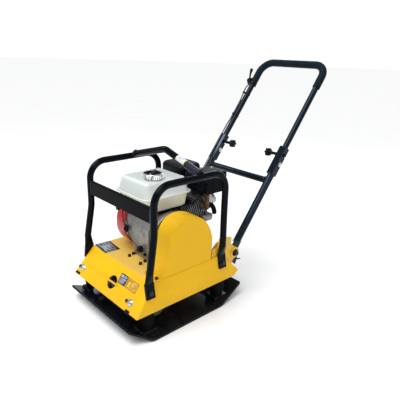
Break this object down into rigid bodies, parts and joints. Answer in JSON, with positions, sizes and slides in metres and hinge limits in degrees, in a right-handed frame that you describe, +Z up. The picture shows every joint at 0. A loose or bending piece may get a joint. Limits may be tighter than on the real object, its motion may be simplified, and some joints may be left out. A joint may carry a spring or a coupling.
{
  "type": "plate compactor",
  "caption": "walk-behind vibratory plate compactor with bent base plate, sheet deck, petrol engine, belt guard, tube cage with lifting arch and folding handle",
  "frame": {"origin": "centre of the flat underside of the base plate, on the ground, on the symmetry plane of the plate and cage", "axes": "+X forward, away from the operator; +Y to the machine's left, the belt side; +Z up"},
  "size_m": [1.1591, 0.504, 0.9864],
  "materials": {
    "yellow_paint": "satin",
    "black_frame_paint": "gloss",
    "base_black_paint": "satin",
    "mount_rubber": "matte",
    "grip_foam": "matte",
    "exciter_paint": "satin",
    "shaft_steel": "satin",
    "zinc_bolts": "gloss",
    "dark_bolts": "satin",
    "cast_pulley": "satin",
    "belt_rubber": "matte",
    "cast_aluminium": "satin",
    "cylinder_casting": "satin",
    "cover_silver": "satin",
    "red_paint": "gloss",
    "muffler_black": "satin",
    "rusty_steel": "matte",
    "black_plastic": "satin",
    "tank_white": "gloss",
    "tank_cream": "gloss",
    "cap_chrome": "gloss",
    "cable_sheath": "satin"
  },
  "bodies": {
    "root": {"air_cleaner_base": "black_plastic", "air_cleaner_cover": "black_plastic", "base_bolts": "dark_bolts", "base_plate": "base_black_paint", "belt_guard": "yellow_paint", "cable_engine": "cable_sheath", "cage_bolts": "dark_bolts", "cage_front_bar": "black_frame_paint", "cage_hoop_left": "black_frame_paint", "cage_hoop_right": "black_frame_paint", "carburetor": "cast_aluminium", "crankcase": "cast_aluminium", "crankcase_cover": "cast_aluminium", "cylinder": "cylinder_casting", "cylinder_head": "cylinder_casting", "deck": "yellow_paint", "deck_bolts": "zinc_bolts", "drive_belt": "belt_rubber", "engine_bolts": "zinc_bolts", "exciter_bearings": "shaft_steel", "exciter_covers": "exciter_paint", "exciter_housing": "exciter_paint", "exhaust_pipe": "rusty_steel", "fan_shroud": "red_paint", "handle_brackets": "yellow_paint", "lifting_arch": "black_frame_paint", "muffler": "muffler_black", "muffler_guard": "muffler_black", "oil_plugs": "black_plastic", "pivot_bolts": "dark_bolts", "pivot_bushes": "mount_rubber", "plug_boot": "black_plastic", "recoil_cover": "red_paint", "rubber_mounts": "mount_rubber", "switch_box": "black_plastic", "tank_bracket": "black_frame_paint", "tank_lower": "tank_cream", "tank_upper": "tank_white", "valve_cover": "cover_silver"},
    "crank_rotor": {"crankshaft": "shaft_steel", "clutch_pulley": "cast_pulley", "flywheel_fan": "cast_aluminium"},
    "exciter_rotor": {"exciter_shaft": "shaft_steel", "exciter_pulley": "cast_pulley"},
    "lower_handle": {"handle_lower": "black_frame_paint", "fold_bolts": "zinc_bolts"},
    "upper_handle": {"handle_upper": "black_frame_paint", "handle_grip": "grip_foam", "throttle_clamp": "black_plastic", "cable_upper": "cable_sheath", "cable_ties": "black_plastic", "cable_fold": "cable_sheath"},
    "knob_left": {"lock_knob_left": "black_plastic"},
    "knob_right": {"lock_knob_right": "black_plastic"},
    "throttle": {"throttle_lever": "black_plastic"},
    "tank_cap": {"fuel_cap": "cap_chrome"},
    "starter": {"starter_grip": "black_plastic"},
    "switch": {"engine_switch": "black_plastic"},
    "choke": {"choke_lever": "black_plastic"},
    "fuel_valve": {"fuel_valve_lever": "black_plastic"}
  },
  "joints": [
    {"name": "crank_turn", "type": "hinge", "parent": "root", "child": "crank_rotor", "pos_m": [0, 0.163, 0.3205], "axis": [0, 1, 0], "continuous": true},
    {"name": "exciter_turn", "type": "hinge", "parent": "root", "child": "exciter_rotor", "pos_m": [0.138, 0.163, 0.082], "axis": [0, 1, 0], "continuous": true},
    {"name": "handle_tilt", "type": "hinge", "parent": "root", "child": "lower_handle", "pos_m": [-0.26, 0, 0.2], "axis": [0, 1, 0], "range_deg": [0, 24], "deforming": ["cable_engine"]},
    {"name": "handle_fold", "type": "hinge", "parent": "lower_handle", "child": "upper_handle", "pos_m": [-0.52666, 0, 0.54873], "axis": [0, 1, 0], "range_deg": [-125, 0], "deforming": ["cable_fold"]},
    {"name": "knob_turn_left", "type": "hinge", "parent": "upper_handle", "child": "knob_left", "pos_m": [-0.55521, 0.186, 0.58606], "axis": [0, 1, 0], "range_deg": [0, 720]},
    {"name": "knob_turn_right", "type": "hinge", "parent": "upper_handle", "child": "knob_right", "pos_m": [-0.55521, -0.186, 0.58606], "axis": [0, 1, 0], "range_deg": [0, 720]},
    {"name": "throttle_turn", "type": "hinge", "parent": "upper_handle", "child": "throttle", "pos_m": [-0.77753, -0.221, 0.8768], "axis": [0, 1, 0], "range_deg": [0, 50]},
    {"name": "cap_turn", "type": "hinge", "parent": "root", "child": "tank_cap", "pos_m": [0.02, -0.002, 0.547], "axis": [0, 0, 1], "range_deg": [0, 90]},
    {"name": "starter_pull", "type": "slide", "parent": "root", "child": "starter", "axis": [1, 0, 0], "range_m": [0, 0.08], "stiffness_N_per_m": 60, "springref_m": -0.1},
    {"name": "switch_turn", "type": "hinge", "parent": "root", "child": "switch", "pos_m": [0.11, -0.07, 0.32], "axis": [1, 0, 0], "range_deg": [0, 45]},
    {"name": "choke_turn", "type": "hinge", "parent": "root", "child": "choke", "pos_m": [-0.18221, -0.091, 0.41071], "axis": [0, 1, 0], "range_deg": [0, 20]},
    {"name": "fuel_valve_turn", "type": "hinge", "parent": "root", "child": "fuel_valve", "pos_m": [-0.18221, -0.091, 0.38671], "axis": [0, 1, 0], "range_deg": [-60, 0]}
  ],
  "couplings": [
    {"joint": "exciter_turn", "follows": "crank_turn", "ratio": 1.5484}
  ]
}
